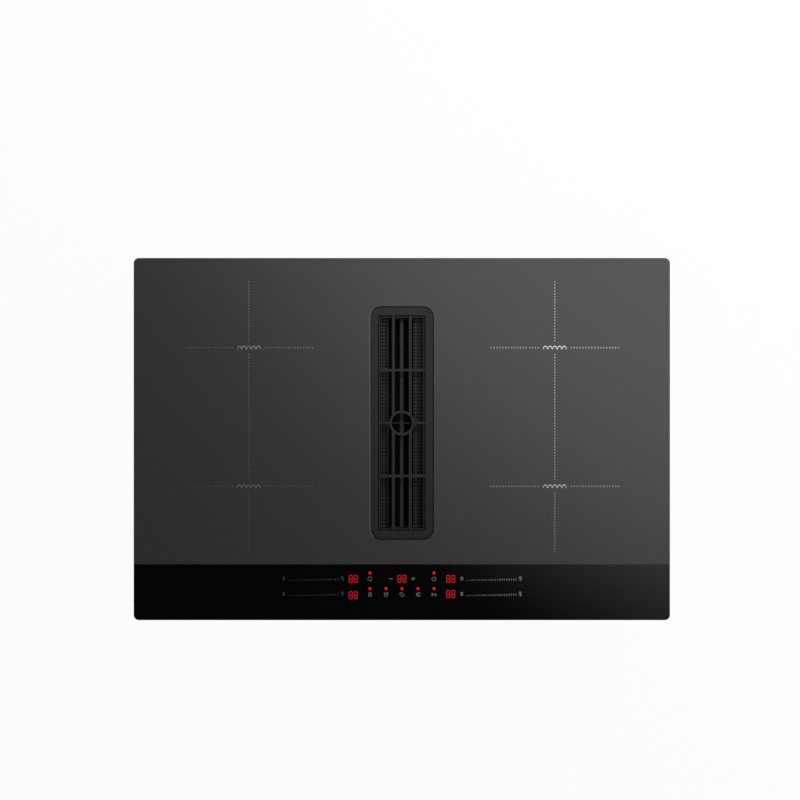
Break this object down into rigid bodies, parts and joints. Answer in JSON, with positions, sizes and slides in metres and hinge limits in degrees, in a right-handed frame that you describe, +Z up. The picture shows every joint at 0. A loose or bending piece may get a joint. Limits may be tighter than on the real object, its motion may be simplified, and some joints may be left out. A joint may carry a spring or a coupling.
{
  "type": "downdraft induction cooktop",
  "caption": "Built-in glass induction cooktop with a central downdraft extractor, lift-out grille and filter, blower unit and duct outlet.",
  "frame": {"origin": "centre of the bounding box's underside, on the surface that the blower unit stands on", "axes": "+X to the cook's right along the glass's long side, +Y to the back, +Z up; the control strip is along -Y"},
  "size_m": [0.77, 0.52, 0.2123],
  "materials": {
    "black_glass": "gloss, matte printed field",
    "vent_metal": "satin black",
    "grille_metal": "satin black",
    "filter_metal": "satin black",
    "stainless": "satin",
    "galvanised": "galvanised sheet",
    "aluminium": "mill",
    "black_plastic": "fine texture",
    "grey_plastic": "fine texture",
    "white_plastic": "fine texture",
    "black_rubber": "matte",
    "grey_foam": "closed cell",
    "copper": "enamelled wire",
    "ferrite": "sintered",
    "mica": "pressed sheet",
    "sensor_white": "plain",
    "circuit_green": "solder mask",
    "display_red": "smoked lens",
    "bright_steel": "ground",
    "screw_steel": "zinc"
  },
  "bodies": {
    "root": {"glass_plate": "black_glass", "worktop_seal": "grey_foam", "glass_support_frame": "galvanised", "electronics_pan": "galvanised", "vent_support": "stainless", "inlet_frame": "vent_metal", "joint_seal": "black_rubber", "inlet_shaft": "black_plastic", "duct_gasket": "grey_foam", "suction_lid": "black_plastic", "blower_deck": "black_plastic", "suction_base": "black_plastic", "assembly_screws": "screw_steel", "rubber_bushes": "black_rubber", "outlet_spigot": "black_plastic", "motor_stator": "copper", "motor_bearings": "bright_steel", "driver_box": "black_plastic", "coil_winding_rear_left": "copper", "coil_winding_rear_right": "copper", "coil_winding_front_left": "copper", "coil_winding_front_right": "copper", "coil_carriers": "white_plastic", "ferrite_bars": "ferrite", "mica_sheets": "mica", "zone_sensors": "sensor_white", "coil_trays": "aluminium", "power_board_left": "circuit_green", "power_board_right": "circuit_green", "heat_sink_left": "aluminium", "heat_sink_right": "aluminium", "fan_frame_left": "black_plastic", "fan_frame_right": "black_plastic", "touch_board": "circuit_green", "touch_carrier": "white_plastic", "display_modules": "display_red", "terminal_box": "grey_plastic", "terminal_cover": "grey_plastic", "terminal_block": "white_plastic", "cable_gland": "black_plastic", "clamp_brackets": "galvanised", "clamp_screws": "screw_steel"},
    "filter": {"filter_frame": "filter_metal", "filter_panel_left": "filter_metal", "filter_panel_right": "filter_metal", "filter_handle": "filter_metal", "filter_gutter": "filter_metal"},
    "grille": {"grille": "grille_metal", "grille_pads": "black_rubber"},
    "blower": {"blower_impeller": "grey_plastic", "impeller_shroud": "grey_plastic", "motor_rotor": "galvanised", "motor_shaft": "bright_steel"},
    "fan_left": {"fan_rotor_left": "black_plastic"},
    "fan_right": {"fan_rotor_right": "black_plastic"},
    "tray": {"overflow_tray": "grey_plastic"},
    "clamp_front_left": {"clamp_arm_front_left": "galvanised"},
    "clamp_front_right": {"clamp_arm_front_right": "galvanised"},
    "clamp_rear_left": {"clamp_arm_rear_left": "galvanised"},
    "clamp_rear_right": {"clamp_arm_rear_right": "galvanised"}
  },
  "joints": [
    {"name": "filter_lift", "type": "slide", "parent": "root", "child": "filter", "axis": [0, 0, 1], "range_m": [0, 0.07]},
    {"name": "grille_lift", "type": "slide", "parent": "filter", "child": "grille", "axis": [0, 0, 1], "range_m": [0, 0.04]},
    {"name": "blower_spin", "type": "hinge", "parent": "root", "child": "blower", "pos_m": [0.176, 0.005, 0.03], "axis": [0, 0, 1], "continuous": true},
    {"name": "fan_left_spin", "type": "hinge", "parent": "root", "child": "fan_left", "pos_m": [-0.25, -0.188, 0.16], "axis": [0, 0, 1], "continuous": true},
    {"name": "fan_right_spin", "type": "hinge", "parent": "root", "child": "fan_right", "pos_m": [0.25, -0.188, 0.16], "axis": [0, 0, 1], "continuous": true},
    {"name": "tray_pull", "type": "slide", "parent": "root", "child": "tray", "axis": [0, -1, 0], "range_m": [0, 0.24]},
    {"name": "clamp_front_left_swing", "type": "hinge", "parent": "root", "child": "clamp_front_left", "pos_m": [-0.363, -0.17, 0.171], "axis": [0, 0, 1], "range_deg": [0, 90]},
    {"name": "clamp_front_right_swing", "type": "hinge", "parent": "root", "child": "clamp_front_right", "pos_m": [0.363, -0.17, 0.171], "axis": [0, 0, -1], "range_deg": [0, 90]},
    {"name": "clamp_rear_left_swing", "type": "hinge", "parent": "root", "child": "clamp_rear_left", "pos_m": [-0.363, 0.17, 0.171], "axis": [0, 0, -1], "range_deg": [0, 90]},
    {"name": "clamp_rear_right_swing", "type": "hinge", "parent": "root", "child": "clamp_rear_right", "pos_m": [0.363, 0.17, 0.171], "axis": [0, 0, 1], "range_deg": [0, 90]}
  ]
}
